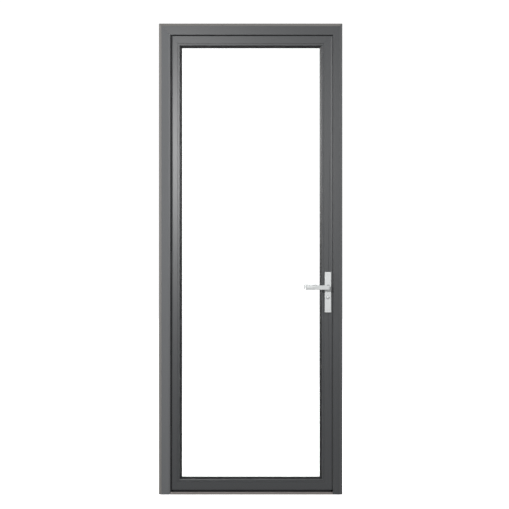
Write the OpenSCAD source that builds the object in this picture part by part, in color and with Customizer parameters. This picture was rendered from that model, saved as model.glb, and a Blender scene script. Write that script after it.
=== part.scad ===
// Glazed aluminium door: one leaf hung in its own frame, with a lever handle and a latch.
// Front faces -Y, +Z is up. The origin is on the floor, in the middle of the frame's width,
// in the plane through the middle of the closed leaf's thickness.

/* [Overall] */
// Width over the outer strips
frame_w = 900; // [750:1:1300]
// Height from the floor to the top of the outer strip
frame_h = 2310; // [1900:1:2600]

/* [Frame profiles] */
// Depth of the frame, front to back
frame_d = 70; // [66:1:90]
// Wall thickness of the frame profiles
frame_wall = 2; // [1.5:0.1:3]
// Width of the strip between frame and wall
strip_w = 13; // [8:0.5:25]
// Width of the sloped inner edge of the hinge jamb
hinge_edge_w = 8; // [3:0.5:10]
// Depth of that slope
hinge_edge_d = 3; // [1:0.1:4]
// Width of the sloped inner edge of the head
head_edge_w = 2.5; // [1:0.5:8]
// Depth of that slope
head_edge_d = 1; // [0.5:0.1:2.5]
// How far the strip's face slopes back to its outer edge
strip_slope = 5; // [1:0.5:8]
// Width of the hinge jamb's tube
hinge_jamb_w = 43; // [34:0.5:60]
// Width of the lock jamb's tube
lock_jamb_w = 34; // [28:0.5:60]
// Height of the head's tube
head_w = 44; // [30:0.5:60]
// Reach of the stop past the leaf's edge, hinge side, head and threshold
stop_lap = 12; // [8:0.5:14]
// Reach of the stop past the leaf's edge, lock side
lock_stop_lap = 6; // [4:0.5:7]
// First joint in the head's strip, from the left end
strip_joint_1 = 312; // [200:1:360]
// Second joint in the head's strip, from the right end
strip_joint_2 = 167; // [100:1:300]

/* [Threshold] */
// Height of the threshold's tread
threshold_h = 12; // [12:0.5:30]

/* [Gaps round the leaf] */
// Groove between the hinge jamb and the leaf
hinge_gap = 8.5; // [8.5:0.5:14]
// Gap between the head and the leaf
top_gap = 3.5; // [3:0.5:12]
// Gap between the leaf and the lock jamb
lock_gap = 1.5; // [1.5:0.5:5]
// Gap between the threshold and the leaf
bottom_gap = 10.5; // [6:0.5:16]
// Gap between the leaf's back and the stop
stop_gap = 4; // [3:0.5:6]

/* [Leaf profiles] */
// Thickness of the leaf
leaf_t = 50; // [46:1:60]
// Wall thickness of the leaf profiles
leaf_wall = 2; // [1.5:0.1:2.5]
// Width of the hinge stile's tube
hinge_stile_w = 28; // [24:0.5:60]
// Width of the lock stile's tube
lock_stile_w = 42; // [42:0.5:80]
// Height of the top rail's tube
top_rail_w = 38.5; // [28:0.5:80]
// Height of the bottom rail's tube
bottom_rail_w = 43; // [28:0.5:120]
// Width of the sloped outer edge of the hinge stile, and of the lock jamb's inner edge
edge_w = 5; // [2:0.5:8]
// Depth of that slope
edge_d = 2; // [0.5:0.1:3]
// Width of the sloped outer edge of the lock stile
lock_edge_w = 8; // [3:0.5:10]
// Depth of that slope
lock_edge_d = 3; // [1:0.1:4]
// Width of the sloped outer edge of the rails
rail_edge_w = 3; // [1:0.5:8]
// Depth of that slope
rail_edge_d = 1.5; // [0.5:0.1:3]

/* [Glazing] */
// Width of the glazing beads
bead_w = 10.5; // [8:0.5:16]
// Depth of the glazing beads
bead_d = 9; // [7:0.5:12]
// Thickness of one glass pane
pane_t = 6; // [4:0.5:8]
// Width of black gasket seen inside the beads, front
gasket_sight = 10.5; // [4:0.5:14]
// Width of black gasket seen inside the profiles, rear
gasket_sight_rear = 4; // [3:0.5:14]
// Gap between the glass edge and the profiles
edge_gap = 4.5; // [3:0.5:6]
// Width of the spacer frame between the panes
spacer_w = 10.5; // [8:0.5:13]
// Length of a glazing block
block_l = 80; // [50:1:120]

/* [Hinges] */
// Length of a hinge
hinge_l = 100; // [80:1:140]
// Radius of the hinge knuckles
knuckle_r = 3.8; // [3.4:0.1:3.9]
// Radius of the hinge pin
pin_r = 2.2; // [1.8:0.1:2.4]
// Thickness of the hinge plates
hinge_plate_t = 2; // [2:0.1:2.2]
// Width of the hinge plates, back from the pin
hinge_plate_w = 34; // [28:1:36]
// Distance of the hinge screws from the plate's back edge
hinge_screw_in = 10; // [8:0.5:14]
// Distance of the outer hinge screws from the hinge's ends
hinge_screw_end = 15; // [10:1:30]
// Centre of the lowest hinge above the floor
hinge_low = 280; // [200:1:500]
// Centre of the highest hinge below the top of the leaf
hinge_drop = 254; // [150:1:500]

/* [Lever and latch] */
// Height of the lever's axis above the floor
lever_z = 1016.5; // [850:0.5:1200]
// Distance of the lever's axis from the leaf's edge
backset = 23; // [22:0.5:28]
// Length of the lever's grip from its axis
lever_l = 111; // [90:1:150]
// Height of the lever's grip
lever_h = 21.5; // [16:0.5:24]
// Thickness of the lever's grip
lever_t = 12; // [9:0.5:14]
// Distance of the grip's outer face from the leaf
lever_out = 60; // [52:1:75]
// Length of the swept-back tip
sweep_l = 46; // [20:1:60]
// Angle of the swept-back tip
sweep_angle = 12; // [5:1:30]
// Radius of the lever's neck
neck_r = 8.5; // [7:0.1:8.6]
// Side of the square spindle
spindle_a = 8; // [7:0.5:9]
// Radius of the follower's hub
hub_r = 8.5; // [8:0.1:9]
// Throw of the latch bolt
latch_throw = 10; // [8:0.5:10]
// Height of the latch bolt
latch_h = 24; // [18:1:26]
// Thickness of the latch bolt
latch_t = 12; // [10:0.5:14]
// Height of the latch bolt's middle above the lever's axis
latch_rise = 24; // [23:0.5:26]

/* [Handle plates] */
// Width of a handle plate
plate_w = 30.4; // [29:0.2:32]
// Height of a handle plate with its end caps
plate_h = 198; // [194:1:230]
// Distance from the lever's axis to the top of the plate
plate_above = 75; // [74:1:90]
// Thickness of a handle plate
plate_t = 9; // [8:0.5:12]
// Wall thickness of a handle plate
plate_wall = 2; // [1.5:0.1:2.5]
// Height of an end cap
cap_h = 12; // [8:0.5:13]
// How far an end cap stands proud of the plate
cap_proud = 0.5; // [0.2:0.1:1]
// Radius of the round lock button
button_r = 8; // [6:0.5:9]
// Distance of the button below the lever's axis
button_drop = 49; // [44:1:54]
// How far the button stands out of the plate
button_out = 5; // [4:0.5:8]

/* [Wall fixings] */
// Radius of the fixing holes through the jambs
anchor_r = 4.25; // [3:0.25:5]
// Height of the lowest fixing hole
anchor_low = 150; // [100:1:200]
// Distance of the highest fixing hole from the top
anchor_drop = 150; // [100:1:240]
// Distance of the fixing holes behind the frame's front
anchor_in = 30; // [15:1:45]
// Fixing holes in one jamb
anchor_n = 4; // [2:1:5]

/* [Hidden] */

// small amounts shared by all pieces
fit = 0.2;
run = 0.06;
clear = 0.3;
over = 1;
$fn = 48;

// planes across the depth
front = -leaf_t / 2;
rear = leaf_t / 2;
frame_back = front + frame_d;
stop_front = rear + stop_gap;

// rectangles in the XZ plane, as [left, right, bottom, top]
open_l = -frame_w / 2 + strip_w + hinge_jamb_w;
open_r = frame_w / 2 - strip_w - lock_jamb_w;
open_t = frame_h - strip_w - head_w;
tube_rect = [strip_w - frame_w / 2, frame_w / 2 - strip_w, 0, frame_h - strip_w];
leaf_rect = [open_l + hinge_gap, open_r - lock_gap, threshold_h + bottom_gap, open_t - top_gap];
open_rect = [open_l, open_r, threshold_h, open_t];
stop_rect = [leaf_rect[0] + stop_lap, leaf_rect[1] - lock_stop_lap, leaf_rect[2] + stop_lap,
    leaf_rect[3] - stop_lap];
rebate_rect = [leaf_rect[0] + hinge_stile_w, leaf_rect[1] - lock_stile_w,
    leaf_rect[2] + bottom_rail_w, leaf_rect[3] - top_rail_w];
bead_rect = inset(rebate_rect, bead_w);
glass_rect = inset(rebate_rect, edge_gap);

// glazing across the depth: two panes with an equal gasket on each side
bead_back = front + bead_d;
gasket_t = 4;
glass_front = bead_back + gasket_t;
cavity = -2 * (glass_front + pane_t);

// hinge axis and heights
pivot_x = (open_l + leaf_rect[0]) / 2;
pivot_y = front + knuckle_r + 0.5;
hinge_high = leaf_rect[3] - hinge_drop;
hinge_zs = [hinge_low, (hinge_low + hinge_high) / 2, hinge_high];
knuckle_n = 5;
knuckle_l = hinge_l / knuckle_n;
hinge_screw_r = 2.5;
hinge_screw_l = 13;
hinge_screw_zs = [hinge_screw_end - hinge_l / 2, 0, hinge_l / 2 - hinge_screw_end];
hinge_screw_y = pivot_y + hinge_plate_w - hinge_screw_in;

// lock and handle
lever_x = leaf_rect[1] - backset;
face_w = 20;
face_below = 82;
face_above = 60;
case_below = 66;
case_above = 43;
case_wall = 1.2;
case_t = 18;
case_l = leaf_rect[1] - lock_stile_w + leaf_wall + clear;
case_r = leaf_rect[1] - leaf_wall;
boss_r = 6.9;
square_slack = 0.1;
arm_w = 3;
arm_l = 13.2;
lug_w = 3;
lug_x = lever_x - arm_w / 2 - 0.4 - lug_w;
latch_tip = leaf_rect[1] + latch_throw;
latch_back = latch_tip - 24;
tail_z = arm_l + 1.3;
tail_h = 7.5;
spring_z = latch_rise + 6;
spring_r = 2.6;
wire_r = 0.4;
spring_turns = 6;
bolt_zs = [plate_above - cap_h - 12, plate_above - plate_h + cap_h + 12];
bolt_r = 2;
bolt_head_r = 4;
bolt_head_h = 1.6;
bush_wall = 3.5;
screw_r = 2;
screw_head_r = 3.6;
strike_h = 92;
strike_w = 22;
tab_l = 24;
tab_t = 3;
spindle_half = leaf_t / 2 + lever_out - 15;
anchor_y = front + anchor_in;
anchor_step = (frame_h - anchor_low - anchor_drop) / (anchor_n - 1);

frame_grey = "#5f6163";
strip_grey = "#99948f";
black = "#1c1c1e";
steel = "#c9cccd";
zinc = "#8f9396";

function inset(r, d) = [r[0] + d, r[1] - d, r[2] + d, r[3] - d];
function width(r) = r[1] - r[0];
function height(r) = r[3] - r[2];
// a point beyond "to", on the line from "from" through "to"
function beyond(from, to) = to + (to - from);
function corner(r, side_x, side_z) = [r[side_x], r[side_z]];

// placing a profile on the four sides of a rectangle

// children are 2D: x runs inward from the outer edge, y is the depth
module on_left(r) translate([r[0], 0, r[2]]) linear_extrude(height(r)) children();
module on_right(r) translate([r[1], 0, r[2]]) mirror([1, 0, 0]) linear_extrude(height(r)) children();
module on_top(r) translate([r[0], 0, r[3]]) rotate([0, 90, 0]) linear_extrude(width(r)) children();
module on_bottom(r) translate([r[0], 0, r[2]]) mirror([0, 0, 1]) rotate([0, 90, 0])
    linear_extrude(width(r)) children();

// a prism through the whole depth with the given outline in XZ
module through_depth(points) {
    rotate([90, 0, 0]) linear_extrude(frame_d * 2, center = true) polygon(points);
}

// the region of one side of a mitred rectangle, between outer and inner corners
module mitre(outer, inner, side) {
    ends = side == "left" ? [[0, 2], [0, 3]]
        : side == "right" ? [[1, 3], [1, 2]]
        : side == "top" ? [[0, 3], [1, 3]]
        : [[1, 2], [0, 2]];
    oa = corner(outer, ends[0][0], ends[0][1]);
    ia = corner(inner, ends[0][0], ends[0][1]);
    ob = corner(outer, ends[1][0], ends[1][1]);
    ib = corner(inner, ends[1][0], ends[1][1]);
    through_depth([beyond(ia, oa), beyond(oa, ia), beyond(ob, ib), beyond(ib, ob)]);
}

// the same for the leaf's profiles, with a bend where the tubes' inner faces meet
module leaf_mitre(side) {
    ends = side == "left" ? [[0, 2], [0, 3]]
        : side == "right" ? [[1, 3], [1, 2]]
        : side == "top" ? [[0, 3], [1, 3]]
        : [[1, 2], [0, 2]];
    oa = corner(leaf_rect, ends[0][0], ends[0][1]);
    ma = corner(rebate_rect, ends[0][0], ends[0][1]);
    ia = corner(bead_rect, ends[0][0], ends[0][1]);
    ob = corner(leaf_rect, ends[1][0], ends[1][1]);
    mb = corner(rebate_rect, ends[1][0], ends[1][1]);
    ib = corner(bead_rect, ends[1][0], ends[1][1]);
    through_depth([beyond(ma, oa), ma, beyond(ma, ia), beyond(mb, ib), mb, beyond(mb, ob)]);
}

// sections

// frame tube with its stop; x runs from the outer edge towards the opening
module frame_section(tube_w, stop_w, slope_w, slope_d) {
    in_front = front + frame_wall;
    in_back = frame_back - frame_wall;
    difference() {
        polygon([[0, front], [tube_w - slope_w, front], [tube_w, front + slope_d],
            [tube_w, stop_front], [tube_w + stop_w, stop_front], [tube_w + stop_w, frame_back],
            [0, frame_back]]);
        polygon([[frame_wall, in_front], [tube_w - slope_w - frame_wall / 2, in_front],
            [tube_w - frame_wall, in_front + slope_d], [tube_w - frame_wall, in_back],
            [frame_wall, in_back]]);
        translate([tube_w, stop_front + frame_wall])
            square([stop_w - frame_wall, frame_back - stop_front - 2 * frame_wall]);
    }
}

module strip_section() {
    difference() {
        polygon([[0, front + strip_slope], [strip_w, front], [strip_w, frame_back],
            [0, frame_back - strip_slope]]);
        translate([frame_wall, front + strip_slope + frame_wall])
            square([strip_w - 2 * frame_wall, frame_d - 2 * (strip_slope + frame_wall)]);
    }
}

// leaf tube with its fixed rear glazing leg and the groove for the bead's tongue
module leaf_section(tube_w, slope_w, slope_d) {
    leg = rear - bead_d;
    in_front = front + leaf_wall;
    in_rear = rear - leaf_wall;
    near = slope_w + leaf_wall / 2;
    far = tube_w - leaf_wall;
    difference() {
        polygon([[slope_w, front], [tube_w, front], [tube_w, leg], [tube_w + bead_w, leg],
            [tube_w + bead_w, rear], [slope_w, rear], [0, rear - slope_d], [0, front + slope_d]]);
        polygon([[near, in_front], [far, in_front], [far, in_rear], [near, in_rear],
            [leaf_wall, in_rear - slope_d], [leaf_wall, in_front + slope_d]]);
        translate([tube_w, leg + leaf_wall])
            square([bead_w - leaf_wall, bead_d - 2 * leaf_wall]);
        translate([tube_w - 1.2, front + 4.9]) square([1.2 + over, 2.2]);
    }
}

module bead_section() {
    wall = 1.5;
    round_w = 3;
    // a narrow V shows where the bead meets the profile
    seam = 1;
    difference() {
        union() {
            polygon([[seam, front], [bead_w - round_w, front], [bead_w - round_w * 0.3, front + 0.9],
                [bead_w, front + round_w], [bead_w, bead_back], [0, bead_back], [0, front + 1.8]]);
            translate([-1.1, front + 5]) square([1.1 + over, 2]);
        }
        translate([wall, front + wall + round_w / 2])
            square([bead_w - 2 * wall, bead_d - 2 * wall - round_w / 2]);
    }
}

// gasket: flat under the bead, then a wedge that slopes down to the glass
module gasket_section(sight) {
    lip = 0.8;
    rise = bead_d * 0.65;
    polygon([[2.5, bead_back], [bead_w, bead_back], [bead_w, bead_back - rise],
        [bead_w + 1, bead_back - rise], [bead_w + sight, glass_front - lip],
        [bead_w + sight, glass_front], [2.5, glass_front]]);
}

// screws

// hexagon socket in a screw's head, sunk along +Z from the origin
module socket(r, depth) translate([0, 0, -over]) cylinder(r = r, h = depth + over, $fn = 6);

// frame

module jamb_blank(side) {
    tube_w = side == "left" ? hinge_jamb_w : lock_jamb_w;
    stop_w = abs(corner(stop_rect, side == "left" ? 0 : 1, 3)[0]
        - corner(open_rect, side == "left" ? 0 : 1, 3)[0]);
    if (side == "left") on_left(tube_rect)
        frame_section(tube_w, stop_w, hinge_edge_w, hinge_edge_d);
    else on_right(tube_rect) frame_section(tube_w, stop_w, edge_w, edge_d);
}

// the head's share of the frame, bounded by the bent mitre lines
module head_region() {
    through_depth([beyond(corner(open_rect, 0, 3), corner(tube_rect, 0, 3)),
        corner(open_rect, 0, 3), corner(stop_rect, 0, 3), [stop_rect[0], open_t / 2],
        [stop_rect[1], open_t / 2], corner(stop_rect, 1, 3), corner(open_rect, 1, 3),
        beyond(corner(open_rect, 1, 3), corner(tube_rect, 1, 3))]);
}

// space of the threshold between the jambs, which the jambs' stops stand on
module threshold_region() {
    translate([open_l, front - over, -over])
        cube([open_r - open_l, frame_d + 2 * over, threshold_h + over]);
}

module anchor_holes() {
    for (i = [0 : anchor_n - 1])
        translate([-frame_w, anchor_y, anchor_low + i * anchor_step])
            rotate([0, 90, 0]) cylinder(r = anchor_r, h = 2 * frame_w);
}

module threshold_screw_places() {
    for (y = [front + 14, stop_front - 8]) translate([0, y, threshold_h / 2]) children();
}

module hinge_jamb() {
    color(frame_grey) difference() {
        jamb_blank("left");
        head_region();
        threshold_region();
        anchor_holes();
        hinge_screw_places("frame") hole_x(hinge_screw_r + 0.05);
        threshold_screw_places() translate([open_l, 0, 0]) hole_x(2.45);
    }
}

module lock_jamb() {
    color(frame_grey) difference() {
        jamb_blank("right");
        head_region();
        threshold_region();
        anchor_holes();
        translate([open_r - over, -strike_w / 2 - fit, lever_z + latch_rise - strike_h / 2 - fit])
            cube([frame_wall + 2 * over, strike_w + 2 * fit, strike_h + 2 * fit]);
        threshold_screw_places() translate([open_r, 0, 0]) hole_x(2.45);
    }
}

module head() {
    stop_w = open_t - stop_rect[3];
    color(frame_grey) intersection() {
        on_top(tube_rect) frame_section(head_w, stop_w, head_edge_w, head_edge_d);
        head_region();
    }
}

// short round cutter along X through one profile wall
module hole_x(r) rotate([0, 90, 0]) cylinder(r = r, h = 16, center = true);

module threshold() {
    web = 2.2;
    nose = 1.5;
    upstand = stop_rect[2];
    port_r = 4;
    color(strip_grey) {
        difference() {
            translate([open_l, 0, 0]) rotate([90, 0, 90]) linear_extrude(open_r - open_l)
                difference() {
                    polygon([[front, 0], [frame_back, 0], [frame_back, threshold_h],
                        [front + nose, threshold_h], [front, threshold_h - nose]]);
                    translate([front + web, web]) square([3, threshold_h - 2 * web - nose]);
                    translate([front + 14 + port_r, web])
                        square([stop_front - 22 - front - 2 * port_r, threshold_h - 2 * web]);
                    translate([stop_front - 8 + port_r + 1, web])
                        square([frame_back - stop_front + 8 - port_r - 1 - web, threshold_h - 2 * web]);
                }
            threshold_screw_places() rotate([0, 90, 0]) cylinder(r = 2.05, h = frame_w, center = true);
        }
        // upstand between the jambs' stops
        translate([stop_rect[0], 0, threshold_h]) rotate([90, 0, 90])
            linear_extrude(stop_rect[1] - stop_rect[0]) difference() {
                translate([stop_front, 0]) square([frame_back - stop_front, upstand - threshold_h]);
                translate([stop_front + web, web])
                    square([frame_back - stop_front - 2 * web, upstand - threshold_h - 2 * web]);
            }
    }
}

module threshold_screws() {
    color(zinc) for (side = [-1, 1])
        threshold_screw_places() translate([side < 0 ? open_l : open_r, 0, 0])
            rotate([0, side * -90, 0]) difference() {
                union() {
                    translate([0, 0, -frame_wall - 2.5]) cylinder(r = 4.2, h = 2.5);
                    translate([0, 0, -frame_wall - 0.5]) cylinder(r = 2, h = 24);
                }
                translate([0, 0, -frame_wall - 2.5]) socket(1.8, 1.5);
            }
}

outer_rect = [-frame_w / 2, frame_w / 2, 0, frame_h];

module strip_left() {
    color(strip_grey) difference() {
        intersection() {
            on_left(outer_rect) strip_section();
            mitre(outer_rect + [0, 0, -frame_h, 0], tube_rect + [0, 0, -frame_h, 0], "left");
        }
        anchor_holes();
    }
}

module strip_right() {
    color(strip_grey) difference() {
        intersection() {
            on_right(outer_rect) strip_section();
            mitre(outer_rect + [0, 0, -frame_h, 0], tube_rect + [0, 0, -frame_h, 0], "right");
        }
        anchor_holes();
    }
}

// one length of the head's strip, between two distances from the left end
module strip_head(from, to) {
    color(strip_grey) intersection() {
        on_top(outer_rect) strip_section();
        mitre(outer_rect, tube_rect, "top");
        translate([-frame_w / 2 + from, -frame_d, frame_h / 2]) cube([to - from, 2 * frame_d, frame_h]);
    }
}

strip_joint = 0.6;
module strip_head_left() strip_head(0, strip_joint_1 - strip_joint / 2);
module strip_head_middle() strip_head(strip_joint_1 + strip_joint / 2,
    frame_w - strip_joint_2 - strip_joint / 2);
module strip_head_right() strip_head(frame_w - strip_joint_2 + strip_joint / 2, frame_w);

// corner cleats

// L-shaped block in the chambers of two mitred tubes, with a window in each leg
module cleat(corner_x, corner_z, dir_x, dir_z, upright_w, cross_w, wall, y0, y1) {
    leg = 70;
    // the mitre's slope decides how close the legs come to the inner walls
    w_up = upright_w - wall * (1 + max(1, upright_w / cross_w)) - 2 * fit;
    w_cross = cross_w - wall * (1 + max(1, cross_w / upright_w)) - 2 * fit;
    rib = 4;
    color(zinc) translate([corner_x, 0, corner_z]) scale([dir_x, 1, dir_z])
        translate([wall + fit, y0, wall + fit]) difference() {
            union() {
                cube([w_up, y1 - y0, leg]);
                cube([leg, y1 - y0, w_cross]);
            }
            translate([rib, -over, w_cross + rib])
                cube([w_up - 2 * rib, y1 - y0 + 2 * over, leg - w_cross - 2 * rib]);
            translate([w_up + rib, -over, rib])
                cube([leg - w_up - 2 * rib, y1 - y0 + 2 * over, w_cross - 2 * rib]);
        }
}

module head_cleat(side) {
    left = side == "left";
    cleat(tube_rect[left ? 0 : 1], tube_rect[3], left ? 1 : -1, -1, left ? hinge_jamb_w : lock_jamb_w,
        head_w, frame_wall, front + frame_wall + max(hinge_edge_d, edge_d) + fit,
        frame_back - frame_wall - fit);
}
module head_cleats() {
    head_cleat("left");
    head_cleat("right");
}

module leaf_cleat(left, low) {
    slope = max(edge_d, lock_edge_d, rail_edge_d);
    cleat(leaf_rect[left ? 0 : 1], leaf_rect[low ? 2 : 3], left ? 1 : -1, low ? 1 : -1,
        left ? hinge_stile_w : lock_stile_w, low ? bottom_rail_w : top_rail_w, leaf_wall,
        front + leaf_wall + slope + fit, rear - leaf_wall - slope - fit);
}
module leaf_cleats() {
    for (left = [true, false])
        for (low = [true, false])
            leaf_cleat(left, low);
}

// seals on the frame

seal_w = min(stop_lap, lock_stop_lap) - 1;
seal_rect_out = [stop_rect[0] - seal_w - 1, stop_rect[1] + seal_w, stop_rect[2] - seal_w - 1,
    stop_rect[3] + seal_w + 1];

module seal_section() {
    wall = 1;
    difference() {
        translate([0, rear + clear]) square([seal_w, stop_gap - clear]);
        translate([wall, rear + clear + wall]) square([seal_w - 2 * wall, stop_gap - clear - 2 * wall]);
    }
}

module stop_seal_left() color(black) on_left(seal_rect_out) seal_section();
module stop_seal_right() color(black) on_right(seal_rect_out) seal_section();
seal_rect_in = seal_rect_out + [seal_w, -seal_w, 0, 0];
module stop_seal_head() color(black) on_top(seal_rect_in) seal_section();
module stop_seal_threshold() color(black) on_bottom(seal_rect_in) seal_section();

// hollow black strip that closes the groove between the hinges
module groove_seal() {
    seal_d = 8;
    wall = 1.4;
    recess = 9;
    ends = [threshold_h + over, for (z = hinge_zs) each [z - hinge_l / 2 - 3, z + hinge_l / 2 + 3],
        open_t - over];
    color(black) for (i = [0 : 2 : len(ends) - 1])
        translate([open_l, front + recess, ends[i]]) linear_extrude(ends[i + 1] - ends[i])
            difference() {
                square([hinge_gap - 0.4, seal_d]);
                translate([wall, wall]) square([hinge_gap - 0.4 - 2 * wall, seal_d - 2 * wall]);
            }
}

// hinges

module at_hinges() for (z = hinge_zs) translate([pivot_x, pivot_y, z]) children();

module knuckles(first) {
    gap = 0.3;
    for (i = [first : 2 : knuckle_n - 1])
        translate([0, 0, -hinge_l / 2 + i * knuckle_l + gap / 2])
            cylinder(r = knuckle_r, h = knuckle_l - gap);
}

// one hinge half; side is -1 for the frame's half and 1 for the leaf's
module hinge_half(side, first, bore_r) {
    half_gap = hinge_gap / 2;
    plate_x = side < 0 ? -half_gap : half_gap - hinge_plate_t;
    difference() {
        union() {
            knuckles(first);
            difference() {
                translate([plate_x, 0, -hinge_l / 2]) cube([hinge_plate_t, hinge_plate_w, hinge_l]);
                for (i = [1 - first : 2 : knuckle_n - 1])
                    translate([0, 0, -hinge_l / 2 + i * knuckle_l - 0.15])
                        cylinder(r = knuckle_r + 0.4, h = knuckle_l + 0.3);
            }
        }
        translate([0, 0, -hinge_l]) cylinder(r = bore_r, h = 2 * hinge_l);
        for (z = hinge_screw_zs)
            translate([side * half_gap, hinge_screw_y - pivot_y, z]) rotate([0, side * -90, 0]) {
                translate([0, 0, -over]) cylinder(r = hinge_screw_r + 0.05, h = hinge_plate_t + 2 * over);
                translate([0, 0, hinge_plate_t - 2]) cylinder(r1 = hinge_screw_r + 0.05, r2 = 4.95, h = 2.01);
            }
    }
}

module hinge_frame_plates() color(black) at_hinges() hinge_half(-1, 0, pin_r + 0.02);
module hinge_leaf_plates() color(black) at_hinges() hinge_half(1, 1, pin_r + run);

module hinge_pins() {
    color(black) at_hinges() {
        translate([0, 0, -hinge_l / 2 - 1.5]) cylinder(r = pin_r, h = hinge_l + 3);
        translate([0, 0, hinge_l / 2 + 0.2]) cylinder(r = pin_r + 1.5, h = 1.6);
        translate([0, 0, -hinge_l / 2 - 1.8]) cylinder(r = pin_r + 1.5, h = 1.6);
    }
}

module hinge_screw_places(side) {
    x = side == "frame" ? open_l : leaf_rect[0];
    for (z = hinge_zs) for (dz = hinge_screw_zs) translate([x, hinge_screw_y, z + dz]) children();
}

module hinge_screw(dir) {
    rotate([0, dir * 90, 0]) difference() {
        union() {
            translate([0, 0, -hinge_plate_t + 2.05]) cylinder(r = hinge_screw_r, h = hinge_screw_l);
            translate([0, 0, -hinge_plate_t + 0.1]) cylinder(r1 = 4.6, r2 = hinge_screw_r, h = 1.95);
        }
        translate([0, 0, -hinge_plate_t + 0.1]) socket(1.8, 1.6);
    }
}

module hinge_frame_screws() color(zinc) hinge_screw_places("frame") hinge_screw(-1);
module hinge_leaf_screws() color(zinc) hinge_screw_places("leaf") hinge_screw(1);

// leaf

// lock cut-outs in the lock stile
module lock_cuts() {
    translate([leaf_rect[1] - leaf_wall - over, -face_w / 2 - fit, lever_z - face_below - fit])
        cube([leaf_wall + 2 * over, face_w + 2 * fit, face_below + face_above + 2 * fit]);
    translate([lever_x, 0, lever_z]) rotate([90, 0, 0]) cylinder(r = 7.5, h = frame_d, center = true);
    for (z = bolt_zs) translate([lever_x, 0, lever_z + z]) rotate([90, 0, 0])
        cylinder(r = bolt_r + 0.3, h = frame_d, center = true);
    translate([lever_x, 0, lever_z - button_drop]) rotate([90, 0, 0])
        cylinder(r = 3.2, h = frame_d);
}

module hinge_stile() {
    color(frame_grey) difference() {
        intersection() {
            on_left(leaf_rect) leaf_section(hinge_stile_w, edge_w, edge_d);
            leaf_mitre("left");
        }
        hinge_screw_places("leaf") hole_x(hinge_screw_r + 0.05);
    }
}

module lock_stile() {
    color(frame_grey) difference() {
        intersection() {
            on_right(leaf_rect) leaf_section(lock_stile_w, lock_edge_w, lock_edge_d);
            leaf_mitre("right");
        }
        lock_cuts();
    }
}

module top_rail() {
    color(frame_grey) intersection() {
        on_top(leaf_rect) leaf_section(top_rail_w, rail_edge_w, rail_edge_d);
        leaf_mitre("top");
    }
}

module bottom_rail() {
    color(frame_grey) intersection() {
        on_bottom(leaf_rect) leaf_section(bottom_rail_w, rail_edge_w, rail_edge_d);
        leaf_mitre("bottom");
    }
}

// glazing

module bead_left() color(frame_grey) intersection() {
    on_left(rebate_rect) bead_section();
    mitre(rebate_rect, bead_rect, "left");
}
module bead_right() color(frame_grey) intersection() {
    on_right(rebate_rect) bead_section();
    mitre(rebate_rect, bead_rect, "right");
}
module bead_top() color(frame_grey) intersection() {
    on_top(rebate_rect) bead_section();
    mitre(rebate_rect, bead_rect, "top");
}
module bead_bottom() color(frame_grey) intersection() {
    on_bottom(rebate_rect) bead_section();
    mitre(rebate_rect, bead_rect, "bottom");
}

module gasket_ring(sight) {
    intersection() {
        on_left(rebate_rect) gasket_section(sight);
        mitre(rebate_rect, bead_rect, "left");
    }
    intersection() {
        on_right(rebate_rect) gasket_section(sight);
        mitre(rebate_rect, bead_rect, "right");
    }
    intersection() {
        on_top(rebate_rect) gasket_section(sight);
        mitre(rebate_rect, bead_rect, "top");
    }
    intersection() {
        on_bottom(rebate_rect) gasket_section(sight);
        mitre(rebate_rect, bead_rect, "bottom");
    }
}
module gasket_front() color(black) gasket_ring(gasket_sight);
module gasket_rear() color(black) mirror([0, 1, 0]) gasket_ring(gasket_sight_rear);

module pane(y) translate([glass_rect[0], y, glass_rect[2]])
    cube([width(glass_rect), pane_t, height(glass_rect)]);
module pane_front() color("#dfe9ea", 0.3) pane(glass_front);
module pane_rear() color("#dfe9ea", 0.3) pane(-glass_front - pane_t);

module spacer_frame() {
    outer = inset(glass_rect, 0.5);
    inner = inset(outer, spacer_w);
    color(black) difference() {
        translate([outer[0], -cavity / 2, outer[2]]) cube([width(outer), cavity, height(outer)]);
        translate([inner[0], -cavity, inner[2]]) cube([width(inner), 2 * cavity, height(inner)]);
    }
}

module glazing_blocks() {
    depth = -2 * glass_front;
    color(black) for (share = [0.2, 0.8]) {
        x = rebate_rect[0] + share * width(rebate_rect) - block_l / 2;
        z = rebate_rect[2] + share * height(rebate_rect) - block_l / 2;
        translate([x, -depth / 2, rebate_rect[2]]) cube([block_l, depth, edge_gap]);
        translate([x, -depth / 2, glass_rect[3]]) cube([block_l, depth, edge_gap]);
        translate([rebate_rect[0], -depth / 2, z]) cube([edge_gap, depth, block_l]);
        translate([glass_rect[1], -depth / 2, z]) cube([edge_gap, depth, block_l]);
    }
}

module bottom_sweep() {
    foot_w = 9;
    blade_w = 3;
    y = front + rail_edge_d + 2;
    x = leaf_rect[0] + edge_w;
    color(black) translate([x, y, leaf_rect[2]]) rotate([90, 0, 90])
        linear_extrude(width(leaf_rect) - edge_w - lock_edge_w) polygon([[0, 0], [0, -2],
            [(foot_w - blade_w) / 2, -3.5], [(foot_w - blade_w) / 2, -bottom_gap + 0.5],
            [(foot_w + blade_w) / 2, -bottom_gap + 0.5], [(foot_w + blade_w) / 2, -3.5],
            [foot_w, -2], [foot_w, 0]]);
}

// lock

module at_lever() translate([lever_x, 0, lever_z]) children();

// countersunk screw along +X with the top of its head at the origin
module side_screw(length) {
    rotate([0, 90, 0]) difference() {
        union() {
            cylinder(r1 = screw_head_r, r2 = screw_r, h = 1.5);
            translate([0, 0, 1.4]) cylinder(r = screw_r, h = length - 1.4);
        }
        socket(1.4, 1.3);
    }
}
// the hole for such a screw
module side_screw_hole(length, slack) {
    rotate([0, 90, 0]) {
        translate([0, 0, -0.01]) cylinder(r1 = screw_head_r + 0.1, r2 = screw_r + slack, h = 1.5);
        cylinder(r = screw_r + slack, h = length);
    }
}

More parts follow.
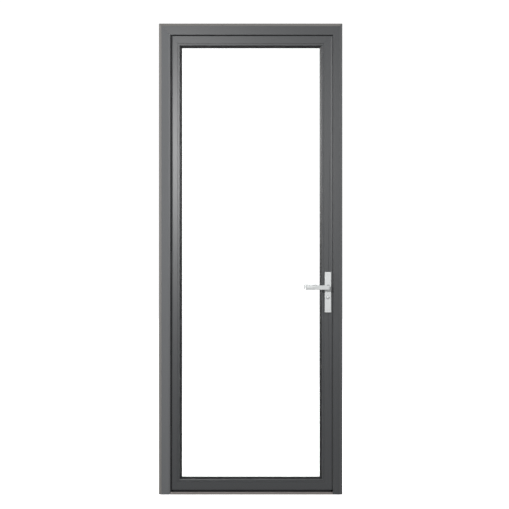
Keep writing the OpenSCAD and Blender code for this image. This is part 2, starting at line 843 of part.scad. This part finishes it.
module latch_mouth(slack) {
    translate([leaf_rect[1] - 10, -latch_t / 2 - slack, lever_z + latch_rise - latch_h / 2 - slack])
        cube([60, latch_t + 2 * slack, latch_h + 2 * slack]);
}

face_screw_zs = [-face_below + 7, face_above - 7];

module face_plate() {
    color(steel) difference() {
        translate([case_r, -face_w / 2, lever_z - face_below])
            cube([leaf_wall, face_w, face_below + face_above]);
        latch_mouth(0.15);
        for (z = face_screw_zs) translate([leaf_rect[1], 0, lever_z + z]) mirror([1, 0, 0])
            side_screw_hole(12, 0.1);
    }
}

// tabs behind the wall at both ends of the face plate
module face_plate_tabs() {
    color(zinc) for (z = face_screw_zs) difference() {
        translate([case_r - tab_t, -face_w / 2 - 3, lever_z + z - tab_l / 2])
            cube([tab_t, face_w + 6, tab_l - (z > 0 ? 0 : 6)]);
        translate([case_r, 0, lever_z + z]) hole_x(screw_r + 0.05);
        translate([case_l, -case_t, lever_z - case_below - fit])
            cube([case_r - case_l + over, 2 * case_t, case_below + case_above + 2 * fit]);
    }
}

module face_plate_screws() {
    color(steel) for (z = face_screw_zs) translate([leaf_rect[1], 0, lever_z + z])
        mirror([1, 0, 0]) side_screw(9);
}

module case_outline(z0, z1, x0, x1, y0, y1)
    translate([x0, y0, lever_z + z0]) cube([x1 - x0, y1 - y0, z1 - z0]);

module lock_case() {
    cover = case_t / 2 - case_wall;
    rib = 2;
    rib_x = lever_x + 6;
    color(zinc) difference() {
        union() {
            difference() {
                case_outline(-case_below, case_above, case_l, case_r, -case_t / 2, cover);
                case_outline(-case_below + case_wall, case_above - case_wall, case_l + case_wall,
                    case_r + over, -case_t / 2 + case_wall, case_t);
            }
            // guide ribs above and below the latch bolt
            for (z = [latch_rise + latch_h / 2 + fit, latch_rise - latch_h / 2 - fit - rib])
                case_outline(z, z + rib, rib_x, case_r, -case_t / 2 + case_wall / 2, cover);
        }
        at_lever() rotate([90, 0, 0]) cylinder(r = boss_r + run, h = case_t);
        at_lever() translate([0, 0, -button_drop]) rotate([90, 0, 0]) cylinder(r = 3, h = case_t);
    }
}

module lock_cover() {
    color(zinc) difference() {
        case_outline(-case_below, case_above, case_l, case_r, case_t / 2 - case_wall, case_t / 2);
        at_lever() rotate([-90, 0, 0]) cylinder(r = boss_r + run, h = case_t);
    }
}

// square bar through the follower, with a lever on each end
module spindle() {
    color(zinc) at_lever() translate([-spindle_a / 2, -spindle_half, -spindle_a / 2])
        cube([spindle_a, 2 * spindle_half, spindle_a]);
}

// hub turned by the spindle, with the arm that draws the latch bolt back
module follower() {
    boss = case_t / 2 + 0.4;
    arm_t = 8;
    hole = spindle_a + square_slack;
    color(zinc) at_lever() difference() {
        union() {
            rotate([90, 0, 0]) cylinder(r = hub_r, h = 2 * (case_t / 2 - case_wall - fit), center = true);
            rotate([90, 0, 0]) cylinder(r = boss_r, h = 2 * boss, center = true);
            translate([-arm_w / 2, -arm_t / 2, 0]) cube([arm_w, arm_t, arm_l]);
        }
        cube([hole, frame_d, hole], center = true);
    }
}

module latch_bolt() {
    nose = 7;
    tail_t = 6;
    z0 = lever_z + latch_rise - latch_h / 2;
    color(steel) {
        // head with a slope on the side that meets the strike when the door closes
        translate([0, 0, z0]) linear_extrude(latch_h) polygon([[latch_back, -latch_t / 2],
            [latch_tip, -latch_t / 2], [latch_tip, -latch_t / 2 + 2.5],
            [latch_tip - nose, latch_t / 2], [latch_back, latch_t / 2]]);
        translate([lug_x, -tail_t / 2, lever_z + tail_z]) cube([latch_back - lug_x + over, tail_t, tail_h]);
        translate([lug_x, -tail_t / 2, lever_z + hub_r + 1.5]) cube([lug_w, tail_t, tail_z - hub_r]);
    }
}

module latch_spring() {
    x0 = case_l + case_wall;
    length = latch_back - x0;
    color(zinc) translate([x0, 0, lever_z + spring_z]) rotate([0, 90, 0])
        linear_extrude(length, twist = 360 * spring_turns, slices = 16 * spring_turns, $fn = 8)
            translate([spring_r - wire_r, 0]) scale([1, 2.6]) circle(r = wire_r);
}

module strike_mouth(slack) {
    translate([open_r - over, -latch_t / 2 - slack, lever_z + latch_rise - latch_h / 2 - slack])
        cube([3 * over + frame_wall, latch_t + 2 * slack, latch_h + 2 * slack]);
}

strike_screw_zs = [-strike_h / 2 + 8, strike_h / 2 - 8];

module strike_plate() {
    color(steel) difference() {
        translate([open_r, -strike_w / 2, lever_z + latch_rise - strike_h / 2])
            cube([frame_wall, strike_w, strike_h]);
        strike_mouth(1);
        for (z = strike_screw_zs) translate([open_r, 0, lever_z + latch_rise + z])
            side_screw_hole(12, 0.1);
    }
}

module strike_tabs() {
    color(zinc) for (z = strike_screw_zs) difference() {
        translate([open_r + frame_wall, -strike_w / 2 - 3, lever_z + latch_rise + z - tab_l / 2])
            cube([tab_t, strike_w + 6, tab_l]);
        translate([open_r, 0, lever_z + latch_rise + z]) hole_x(screw_r + 0.05);
    }
}

module strike_screws() {
    color(steel) for (z = strike_screw_zs) translate([open_r, 0, lever_z + latch_rise + z])
        side_screw(9);
}

// handle

plate_low = plate_above - plate_h;
bush_r = neck_r + bush_wall;

// front plate with its outer face at y = front - plate_t; the rear one is its mirror image
module plate_shell() {
    body_low = plate_low + cap_h;
    body_high = plate_above - cap_h;
    difference() {
        translate([-plate_w / 2, front - plate_t, body_low])
            cube([plate_w, plate_t, body_high - body_low]);
        translate([-plate_w / 2 + plate_wall, front - plate_t + plate_wall, body_low - over])
            cube([plate_w - 2 * plate_wall, plate_t, body_high - body_low + 2 * over]);
    }
    // seat of the bush
    translate([0, front, 0]) rotate([90, 0, 0]) cylinder(r = bush_r + 1.8, h = plate_t - over);
    // posts of the handle bolts
    for (z = bolt_zs) translate([0, front, z]) rotate([90, 0, 0])
        cylinder(r = bolt_head_r + 0.8, h = plate_t - plate_wall / 2);
}

module bush_hole() rotate([90, 0, 0]) cylinder(r = bush_r, h = frame_d);

module plate_front() {
    color(steel) at_lever() difference() {
        union() {
            plate_shell();
            translate([0, front, -button_drop]) rotate([90, 0, 0])
                cylinder(r = button_r + 2, h = plate_t - plate_wall / 2);
        }
        bush_hole();
        translate([0, 0, -button_drop]) rotate([90, 0, 0]) cylinder(r = button_r + run, h = frame_d);
        for (z = bolt_zs) translate([0, front + over, z]) rotate([90, 0, 0])
            cylinder(r = bolt_r + 0.04, h = plate_t - plate_wall + over);
    }
}

module plate_rear() {
    color(steel) at_lever() mirror([0, 1, 0]) difference() {
        plate_shell();
        bush_hole();
        for (z = bolt_zs) translate([0, 0, z]) rotate([90, 0, 0]) {
            cylinder(r = bolt_r + 0.04, h = frame_d);
            translate([0, 0, leaf_t / 2 + plate_t - bolt_head_h - 0.05])
                cylinder(r1 = bolt_r + 0.04, r2 = bolt_head_r + 0.06, h = bolt_head_h + 0.06);
        }
    }
}

module end_cap() {
    tongue = 6;
    wide = plate_w + 2 * cap_proud;
    translate([-wide / 2, front - plate_t - cap_proud, 0]) cube([wide, plate_t + cap_proud, cap_h]);
    translate([-plate_w / 2 + plate_wall + fit, front - plate_t + plate_wall + fit, -tongue])
        cube([plate_w - 2 * (plate_wall + fit), plate_t - plate_wall - fit, tongue + over]);
}

module plate_caps() {
    color(steel) at_lever() for (face = [0, 1]) mirror([0, face, 0]) {
        translate([0, 0, plate_above - cap_h]) end_cap();
        translate([0, 0, plate_low + cap_h]) mirror([0, 0, 1]) end_cap();
    }
}

module lever_bushes() {
    color(black) at_lever() for (face = [0, 1]) mirror([0, face, 0])
        translate([0, front, 0]) rotate([90, 0, 0]) difference() {
            cylinder(r = bush_r - 0.02, h = plate_t + 0.5);
            translate([0, 0, -over]) cylinder(r = neck_r + run, h = plate_t + 2 * over + 0.5);
        }
}

module handle_bolts() {
    head_y = rear + plate_t;
    length = head_y - front + plate_t - plate_wall - 0.5;
    color(steel) at_lever() for (z = bolt_zs)
        translate([0, head_y, z]) rotate([90, 0, 0]) difference() {
            union() {
                cylinder(r1 = bolt_head_r, r2 = bolt_r, h = bolt_head_h);
                translate([0, 0, bolt_head_h - 0.1]) cylinder(r = bolt_r, h = length - bolt_head_h);
            }
            socket(1.5, 1.4);
        }
}

// lever in plan: straight grip, rounded end over the neck, swept-back tip
module lever_plan() {
    face = front - lever_out;
    end_x = neck_r + 0.4;
    round_r = lever_t * 0.75;
    bend_r = sweep_l / sin(sweep_angle);
    straight = lever_l - sweep_l;
    translate([-straight, face]) square([straight + end_x - round_r, lever_t]);
    translate([end_x - round_r, face + round_r]) circle(r = round_r);
    translate([end_x - round_r, face + round_r]) square([round_r, lever_t - round_r]);
    intersection() {
        translate([-straight, face + bend_r]) difference() {
            circle(r = bend_r, $fn = 360);
            circle(r = bend_r - lever_t, $fn = 360);
        }
        translate([-straight, face + bend_r]) polygon([[0.01, 0], [0.01, -2 * bend_r],
            [-2 * bend_r * tan(sweep_angle), -2 * bend_r]]);
    }
}

// set screw that holds the lever on the spindle, from below
set_screw_y = front - lever_out / 2 - 4;
module set_screw(slack) translate([0, set_screw_y, -neck_r - (slack > 0 ? over : -0.6)])
    cylinder(r = 2.5 + slack, h = neck_r - spindle_a / 2 - 0.65 + (slack > 0 ? over + 1 : 0));

module lever_body() {
    socket = spindle_a + square_slack;
    difference() {
        union() {
            translate([0, 0, -lever_h / 2]) linear_extrude(lever_h) lever_plan();
            translate([0, front - 1, 0]) rotate([90, 0, 0]) cylinder(r = neck_r, h = lever_out - lever_t / 2);
        }
        translate([-socket / 2, -spindle_half - 0.5, -socket / 2])
            cube([socket, spindle_half, socket]);
        set_screw(0.05);
    }
}

module lever_set_screws() {
    color(zinc) at_lever() for (face = [0, 1]) mirror([0, face, 0]) difference() {
        set_screw(0);
        translate([0, set_screw_y, -neck_r + 0.6]) socket(1.3, 1.6);
    }
}

module lever_front() color(steel) at_lever() lever_body();
module lever_rear() color(steel) at_lever() mirror([0, 1, 0]) lever_body();

module lock_button() {
    dome = button_r * 1.75;
    face = front - plate_t - button_out;
    color(steel) at_lever() translate([0, 0, -button_drop]) {
        intersection() {
            translate([0, face, 0]) rotate([-90, 0, 0]) cylinder(r = button_r, h = button_out + 5);
            translate([0, face + dome, 0]) rotate([90, 0, 0]) sphere(r = dome, $fn = 96);
        }
        translate([0, face + 4, 0]) rotate([-90, 0, 0])
            cylinder(r = 2.5, h = -face - 4 - case_t / 2 + 0.6);
    }
}

hinge_jamb();
lock_jamb();
head();
threshold();
strip_left();
strip_right();
strip_head_left();
strip_head_middle();
strip_head_right();
head_cleats();
stop_seal_left();
stop_seal_right();
stop_seal_head();
stop_seal_threshold();
groove_seal();
hinge_frame_plates();
hinge_pins();
hinge_frame_screws();
strike_plate();
strike_tabs();
strike_screws();
threshold_screws();
hinge_stile();
lock_stile();
top_rail();
bottom_rail();
leaf_cleats();
bead_left();
bead_right();
bead_top();
bead_bottom();
gasket_front();
gasket_rear();
pane_front();
pane_rear();
spacer_frame();
glazing_blocks();
bottom_sweep();
hinge_leaf_plates();
hinge_leaf_screws();
lock_case();
lock_cover();
face_plate();
face_plate_tabs();
face_plate_screws();
latch_spring();
plate_front();
plate_rear();
plate_caps();
lever_bushes();
handle_bolts();
lever_front();
lever_rear();
lever_set_screws();
spindle();
follower();
latch_bolt();
lock_button();
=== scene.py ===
import math

import bpy
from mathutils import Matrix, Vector


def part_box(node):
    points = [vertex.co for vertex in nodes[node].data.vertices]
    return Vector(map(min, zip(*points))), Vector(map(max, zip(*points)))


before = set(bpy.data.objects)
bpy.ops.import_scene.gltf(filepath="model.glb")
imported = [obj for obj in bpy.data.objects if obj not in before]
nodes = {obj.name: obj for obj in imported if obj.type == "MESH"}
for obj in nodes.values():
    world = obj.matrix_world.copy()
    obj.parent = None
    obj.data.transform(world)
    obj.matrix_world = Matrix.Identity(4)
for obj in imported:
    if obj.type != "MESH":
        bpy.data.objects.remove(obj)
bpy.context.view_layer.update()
scene = bpy.context.scene
print("door frame and leaf loaded")


# small helpers

def aim(obj, place, target):
    obj.location = place
    obj.rotation_euler = (Vector(target) - Vector(place)).to_track_quat("-Z", "Y").to_euler()


def freshMaterial(name):
    mat = bpy.data.materials.new(name)
    mat.use_nodes = True
    tree = mat.node_tree
    tree.nodes.clear()
    out = tree.nodes.new("ShaderNodeOutputMaterial")
    shader = tree.nodes.new("ShaderNodeBsdfPrincipled")
    tree.links.new(shader.outputs["BSDF"], out.inputs["Surface"])
    return mat, tree, shader


def objectCoords(tree, stretch=(1, 1, 1)):
    coords = tree.nodes.new("ShaderNodeTexCoord")
    mapping = tree.nodes.new("ShaderNodeMapping")
    mapping.inputs["Scale"].default_value = stretch
    tree.links.new(coords.outputs["Object"], mapping.inputs["Vector"])
    return mapping.outputs["Vector"]


def noise(tree, vector, scale, detail=2.0, rough=0.5):
    node = tree.nodes.new("ShaderNodeTexNoise")
    node.inputs["Scale"].default_value = scale
    node.inputs["Detail"].default_value = detail
    node.inputs["Roughness"].default_value = rough
    tree.links.new(vector, node.inputs["Vector"])
    return node.outputs["Fac"]


def remap(tree, value, low, high, toLow, toHigh):
    node = tree.nodes.new("ShaderNodeMapRange")
    sockets = ("From Min", "From Max", "To Min", "To Max")
    for socket, number in zip(sockets, (low, high, toLow, toHigh)):
        node.inputs[socket].default_value = number
    tree.links.new(value, node.inputs["Value"])
    return node.outputs["Result"]


def blendColours(tree, fac, first, second):
    node = tree.nodes.new("ShaderNodeMix")
    node.data_type = "RGBA"   # its colour sockets are 6 and 7 going in and 2 coming out
    for socket, colour in ((node.inputs[6], first), (node.inputs[7], second)):
        if isinstance(colour, (tuple, list)):
            socket.default_value = (*colour, 1)
        else:
            tree.links.new(colour, socket)
    tree.links.new(fac, node.inputs[0])
    return node.outputs[2]


def rounded(tree, radius, samples=6):
    node = tree.nodes.new("ShaderNodeBevel")
    node.samples = samples
    node.inputs["Radius"].default_value = radius
    return node.outputs["Normal"]


def bump(tree, shader, height, strength, distance, below=None):
    node = tree.nodes.new("ShaderNodeBump")
    node.inputs["Strength"].default_value = strength
    node.inputs["Distance"].default_value = distance
    tree.links.new(height, node.inputs["Height"])
    if below is not None:
        tree.links.new(below, node.inputs["Normal"])
    tree.links.new(node.outputs["Normal"], shader.inputs["Normal"])
    return node.outputs["Normal"]


def wear(finish, *nodeNames):
    for nodeName in nodeNames:
        obj = nodes[nodeName]
        obj.data.materials.clear()
        obj.data.materials.append(finish)


# camera

shot = {"x": 0.019, "height": 1.177, "distance": 5.5, "lens": 79.365, "sensor": 36,
        "farthest": 100}

cam = bpy.data.objects.new("camera", bpy.data.cameras.new("camera"))
scene.collection.objects.link(cam)
cam.data.lens = shot["lens"]
cam.data.sensor_width = shot["sensor"]
cam.data.clip_end = shot["farthest"]
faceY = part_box("hinge_jamb")[0].y
aim(cam, (shot["x"], faceY - shot["distance"], shot["height"]),
    (shot["x"], faceY, shot["height"]))
scene.camera = cam
print("camera placed")


# studio

studio = {
    "floorSize": 30, "floorGlow": 1.05, "floorColour": (0.5, 0.5, 0.5), "floorRough": 0.9,
    "floorDrop": 0.0005,
    "worldWhite": 1.05, "behindGlass": 1.3, "worldFill": 0.34,
    "fillFrom": (-0.55, -0.35, 0.75), "fillRange": (0.72, 1.28),
}

lamps = {
    "key": {"place": (-0.88, -4.0, 2.02), "aimHeight": 1.4, "size": 0.5, "power": 114},
    "side": {"place": (-3.2, -0.8, 2.1), "aimHeight": 1.3, "size": 1.2, "power": 55},
    "right": {"place": (2.4, -2.6, 2.1), "aimHeight": 1.5, "size": 1.6, "power": 50},
    "back": {"place": (2.3, 3.6, 2.4), "aimHeight": 1.2, "size": 1.4, "power": 90},
}


def makeFloor():
    half = studio["floorSize"] / 2
    mesh = bpy.data.meshes.new("studio_floor")
    corners = [(-half, -half, 0), (half, -half, 0), (half, half, 0), (-half, half, 0)]
    mesh.from_pydata(corners, [], [(0, 1, 2, 3)])
    floor = bpy.data.objects.new("studio_floor", mesh)
    scene.collection.objects.link(floor)
    mat, tree, shader = freshMaterial("paleFloor")
    shader.inputs["Base Color"].default_value = (*studio["floorColour"], 1)
    shader.inputs["Roughness"].default_value = studio["floorRough"]
    shader.inputs["Specular IOR Level"].default_value = 0
    shader.inputs["Emission Color"].default_value = (1, 1, 1, 1)
    shader.inputs["Emission Strength"].default_value = studio["floorGlow"]
    mesh.materials.append(mat)
    floor.location.z = -studio["floorDrop"]
    floor.visible_diffuse = False
    floor.visible_glossy = False


def makeWorld():
    world = bpy.data.worlds.new("studio")
    world.use_nodes = True
    tree = world.node_tree
    tree.nodes.clear()
    out = tree.nodes.new("ShaderNodeOutputWorld")
    mixer = tree.nodes.new("ShaderNodeMixShader")
    fill = tree.nodes.new("ShaderNodeBackground")
    white = tree.nodes.new("ShaderNodeBackground")
    rays = tree.nodes.new("ShaderNodeLightPath")
    seen = tree.nodes.new("ShaderNodeMath")
    seen.operation = "MAXIMUM"
    tree.links.new(rays.outputs["Is Camera Ray"], seen.inputs[0])
    tree.links.new(rays.outputs["Is Transmission Ray"], seen.inputs[1])
    fill.inputs["Strength"].default_value = studio["worldFill"]
    white.inputs["Color"].default_value = (1, 1, 1, 1)
    # two panes swallow some light, so what is seen through them starts brighter
    tree.links.new(remap(tree, rays.outputs["Is Transmission Ray"], 0, 1, studio["worldWhite"],
                         studio["behindGlass"]), white.inputs["Strength"])
    tree.links.new(seen.outputs[0], mixer.inputs["Fac"])
    tree.links.new(fill.outputs[0], mixer.inputs[1])
    tree.links.new(white.outputs[0], mixer.inputs[2])
    tree.links.new(mixer.outputs[0], out.inputs["Surface"])
    # the fill is a little stronger from the upper left
    coords = tree.nodes.new("ShaderNodeTexCoord")
    tilt = tree.nodes.new("ShaderNodeVectorMath")
    tilt.operation = "DOT_PRODUCT"
    tilt.inputs[1].default_value = Vector(studio["fillFrom"]).normalized()
    tree.links.new(coords.outputs["Generated"], tilt.inputs[0])
    shade = remap(tree, tilt.outputs["Value"], -1, 1, *studio["fillRange"])
    lift = tree.nodes.new("ShaderNodeCombineColor")
    for channel in range(3):
        tree.links.new(shade, lift.inputs[channel])
    tree.links.new(lift.outputs[0], fill.inputs["Color"])
    scene.world = world


def softLight(name, lamp):
    light = bpy.data.lights.new(name, "AREA")
    light.shape = "SQUARE"
    light.size = lamp["size"]
    light.energy = lamp["power"]
    obj = bpy.data.objects.new(name, light)
    scene.collection.objects.link(obj)
    aim(obj, lamp["place"], (0, 0, lamp["aimHeight"]))
    obj.visible_camera = False
    obj.visible_transmission = False


makeFloor()
makeWorld()
for lampName, lamp in lamps.items():
    softLight(lampName, lamp)
scene.view_settings.view_transform = "Standard"
print("studio lit")


# powder coated profiles

coat = {"base": (0.036, 0.038, 0.040), "fleck": (0.060, 0.062, 0.065),
        "rough": 0.38, "edge": 0.38, "grain": 1400, "bump": 0.12}
# rougher copy of the frame powder coat for the hinge jamb; its lighter base colour is painted
# light, standing in for the even brightness the jamb catches
paintedLightJambCoat = {"base": (0.092, 0.095, 0.099), "fleck": (0.115, 0.118, 0.122),
            "rough": 0.8, "edge": 0.4, "grain": 1400, "bump": 0.12}
# darker copy of the strip coat for the right strip: painted shade where that strip faces away from
# the light
paintedShadeStripCoat = {"base": (0.052, 0.054, 0.057), "fleck": (0.075, 0.077, 0.08),
                 "rough": 0.55, "edge": 0.55, "grain": 1100, "bump": 0.1}
stripCoat = {"base": (0.13, 0.124, 0.118), "fleck": (0.165, 0.157, 0.149),
             "rough": 0.6, "edge": 0.6, "grain": 1100, "bump": 0.1}

coatSkin = {"broad": 3.1, "unevenness": 0.10, "peel": 320, "peelBump": 0.06, "peelDepth": 0.0004,
            "grainDepth": 0.0001, "specular": 0.5, "slopeStart": 0.15, "slopeEnd": 0.3}


def powderCoat(name, look):
    mat, tree, shader = freshMaterial(name)
    spot = objectCoords(tree)
    fine = noise(tree, spot, look["grain"], 2)
    broad = noise(tree, spot, coatSkin["broad"], 3)
    fac = remap(tree, fine, 0.45, 0.75, 0, 1)
    colour = blendColours(tree, fac, look["base"], look["fleck"])
    # faint unevenness of the coating over the length of a profile
    uneven = remap(tree, broad, 0.3, 0.7, 0, coatSkin["unevenness"])
    tint = blendColours(tree, uneven, colour, look["fleck"])
    tree.links.new(tint, shader.inputs["Base Color"])
    # the sloped edge that faces the opening is rubbed smoother than the flat front
    sides = tree.nodes.new("ShaderNodeSeparateXYZ")
    coords = tree.nodes.new("ShaderNodeTexCoord")
    tree.links.new(coords.outputs["Normal"], sides.inputs[0])
    smoothing = remap(tree, sides.outputs["X"], coatSkin["slopeStart"], coatSkin["slopeEnd"], 0,
                      look["rough"] - look["edge"])
    rough = tree.nodes.new("ShaderNodeMath")
    rough.operation = "SUBTRACT"
    tree.links.new(remap(tree, fine, 0.3, 0.7, look["rough"] - 0.04, look["rough"] + 0.05),
                   rough.inputs[0])
    tree.links.new(smoothing, rough.inputs[1])
    tree.links.new(rough.outputs[0], shader.inputs["Roughness"])
    shader.inputs["Specular IOR Level"].default_value = coatSkin["specular"]
    peel = noise(tree, spot, coatSkin["peel"], 1)
    first = bump(tree, shader, peel, coatSkin["peelBump"], coatSkin["peelDepth"])
    bump(tree, shader, fine, look["bump"], coatSkin["grainDepth"], first)
    return mat


frameGrey = powderCoat("frameGrey", coat)
# the hinge jamb's coat is the frame coat made lighter with painted light
jambGreyPaintedLight = powderCoat("jambGreyPaintedLight", paintedLightJambCoat)
stripTaupe = powderCoat("stripTaupe", stripCoat)
wear(frameGrey, "lock_jamb", "head", "hinge_stile", "lock_stile", "top_rail", "bottom_rail",
     "bead_left", "bead_right", "bead_top", "bead_bottom")
wear(jambGreyPaintedLight, "hinge_jamb")
wear(stripTaupe, "strip_left", "strip_head_left", "strip_head_middle", "strip_head_right")
# the right strip is the same coated strip as the others, darkened with painted shade
wear(powderCoat("stripPaintedShade", paintedShadeStripCoat), "strip_right")
print("profiles coated")


# threshold

tread = {"base": (0.20, 0.18, 0.17), "line": (0.25, 0.228, 0.215), "rough": 0.5, "lines": 60,
         "metal": 0.6, "bump": 0.10, "depth": 0.0002}


def anodised(name, look, stretch):
    mat, tree, shader = freshMaterial(name)
    spot = objectCoords(tree, stretch)
    lines = noise(tree, spot, look["lines"], 4, 0.65)
    colour = blendColours(tree, remap(tree, lines, 0.35, 0.7, 0, 1), look["base"], look["line"])
    tree.links.new(colour, shader.inputs["Base Color"])
    tree.links.new(remap(tree, lines, 0.3, 0.7, look["rough"] - 0.06, look["rough"] + 0.08),
                   shader.inputs["Roughness"])
    shader.inputs["Metallic"].default_value = look["metal"]
    bump(tree, shader, lines, look["bump"], look["depth"])
    return mat


wear(anodised("thresholdAnodised", tread, (0.05, 30, 30)), "threshold")
print("threshold finished")


# seals, gaskets and black parts

rubber = {"base": (0.006, 0.006, 0.007), "dust": (0.012, 0.012, 0.013), "rough": 0.34}
mattRubberAndGrooveShade = {"base": (0.005, 0.005, 0.006), "dust": (0.010, 0.010, 0.011), "rough": 0.82}
blackCoat = {"base": (0.005, 0.005, 0.006), "dust": (0.01, 0.01, 0.011), "rough": 0.7}
blackPlastic = {"base": (0.010, 0.010, 0.011), "dust": (0.018, 0.018, 0.019), "rough": 0.45}

skinBump = {"cloud": 18, "strength": 0.15, "depth": 0.0002}


def blackFinish(name, look, grain=700):
    mat, tree, shader = freshMaterial(name)
    spot = objectCoords(tree)
    skin = noise(tree, spot, grain, 3)
    cloud = noise(tree, spot, skinBump["cloud"], 3)
    colour = blendColours(tree, remap(tree, cloud, 0.4, 0.7, 0, 1), look["base"], look["dust"])
    tree.links.new(colour, shader.inputs["Base Color"])
    tree.links.new(remap(tree, skin, 0.3, 0.7, look["rough"] - 0.05, look["rough"] + 0.1),
                   shader.inputs["Roughness"])
    bump(tree, shader, skin, skinBump["strength"], skinBump["depth"])
    return mat


wear(blackFinish("gasketRubber", rubber), "gasket_front", "gasket_rear")
# matt black rubber for the seals; on the groove seal filling the hinge-side groove it also stands
# in for the shade in that groove, painted shade
wear(blackFinish("sealRubberAndGrooveShade", mattRubberAndGrooveShade), "stop_seal_left", "stop_seal_right", "stop_seal_head",
     "stop_seal_threshold", "groove_seal", "bottom_sweep")
wear(blackFinish("hingeBlack", blackCoat, 1200), "hinge_frame_plates", "hinge_leaf_plates",
     "hinge_pins")
wear(blackFinish("blockPlastic", blackPlastic, 500), "glazing_blocks", "lever_bushes",
     "spacer_frame")
print("black parts finished")


# glass

glass = {"tint": (0.985, 1.0, 0.993), "clear": (0.995, 1, 1), "ior": 1.5, "wave": 2.2,
         "bump": 0.005, "depth": 0.0002}


def clearGlass():
    mat, tree, shader = freshMaterial("clearGlass")
    spot = objectCoords(tree)
    wave = noise(tree, spot, glass["wave"], 1)
    colour = blendColours(tree, remap(tree, wave, 0.4, 0.6, 0, 1), glass["tint"], glass["clear"])
    tree.links.new(colour, shader.inputs["Base Color"])
    shader.inputs["Transmission Weight"].default_value = 1
    shader.inputs["Roughness"].default_value = 0
    shader.inputs["IOR"].default_value = glass["ior"]
    bump(tree, shader, wave, glass["bump"], glass["depth"])   # float glass is never perfectly flat
    return mat


wear(clearGlass(), "pane_front", "pane_rear")
for pane in ("pane_front", "pane_rear"):
    nodes[pane].visible_shadow = False
print("glass set")


# bare metal

satin = {"base": (0.45, 0.46, 0.46), "line": (0.51, 0.522, 0.522), "rough": 0.5, "metal": 0.7,
         "round": 0.0012}
grip = {"base": (0.43, 0.44, 0.44), "line": (0.49, 0.502, 0.502), "rough": 0.6, "metal": 0.45,
        "round": 0.004}
stainless = {"base": (0.55, 0.545, 0.53), "line": (0.66, 0.655, 0.64), "rough": 0.32}
zinc = {"base": (0.50, 0.51, 0.52), "line": (0.60, 0.61, 0.60), "rough": 0.38}
cast = {"base": (0.42, 0.42, 0.43), "line": (0.52, 0.52, 0.52), "rough": 0.5}

grind = {"lines": 90, "bump": 0.06, "depth": 0.0001}


def brushed(name, look, stretch):
    mat, tree, shader = freshMaterial(name)
    spot = objectCoords(tree, stretch)
    lines = noise(tree, spot, grind["lines"], 5, 0.7)
    colour = blendColours(tree, remap(tree, lines, 0.35, 0.7, 0, 1), look["base"], look["line"])
    tree.links.new(colour, shader.inputs["Base Color"])
    tree.links.new(remap(tree, lines, 0.3, 0.7, look["rough"] - 0.05, look["rough"] + 0.08),
                   shader.inputs["Roughness"])
    shader.inputs["Metallic"].default_value = look.get("metal", 1)
    below = rounded(tree, look["round"]) if "round" in look else None
    bump(tree, shader, lines, grind["bump"], grind["depth"], below)
    return mat


wear(brushed("plateSatin", satin, (30, 30, 0.6)), "plate_front", "plate_rear", "plate_caps")
wear(brushed("leverSatin", grip, (0.8, 30, 30)), "lever_front", "lever_rear")
wear(brushed("buttonSatin", satin, (20, 20, 20)), "lock_button")
wear(brushed("stainlessBrushed", stainless, (30, 30, 0.6)), "face_plate", "strike_plate",
     "face_plate_screws", "strike_screws", "handle_bolts")
wear(brushed("zincPlated", zinc, (4, 4, 4)), "hinge_frame_screws", "hinge_leaf_screws",
     "threshold_screws", "strike_tabs", "face_plate_tabs", "lock_case", "lock_cover",
     "latch_spring", "lever_set_screws", "spindle", "follower", "latch_bolt")
wear(brushed("castCleat", cast, (3, 3, 3)), "head_cleats", "leaf_cleats")
print("metal parts finished")


# softened edges

edges = {"profiles": 0.0005, "handle": 0.0006, "weld": 0.00001,
         "segments": 2, "angle": 28}


def softenEdges(width, *nodeNames):
    for nodeName in nodeNames:
        obj = nodes[nodeName]
        weld = obj.modifiers.new("weld", "WELD")
        weld.merge_threshold = edges["weld"]
        rim = obj.modifiers.new("rim", "BEVEL")
        rim.width = width
        rim.segments = edges["segments"]
        rim.limit_method = "ANGLE"
        rim.angle_limit = math.radians(edges["angle"])
        rim.harden_normals = True


softenEdges(edges["profiles"], "hinge_jamb", "lock_jamb", "head", "hinge_stile", "lock_stile",
            "top_rail", "bottom_rail", "bead_left", "bead_right", "bead_top", "bead_bottom",
            "strip_left", "strip_right", "strip_head_left", "strip_head_middle", "strip_head_right",
            "threshold")
softenEdges(edges["handle"], "plate_front", "plate_rear", "plate_caps", "lever_front", "lever_rear")
print("edges softened")
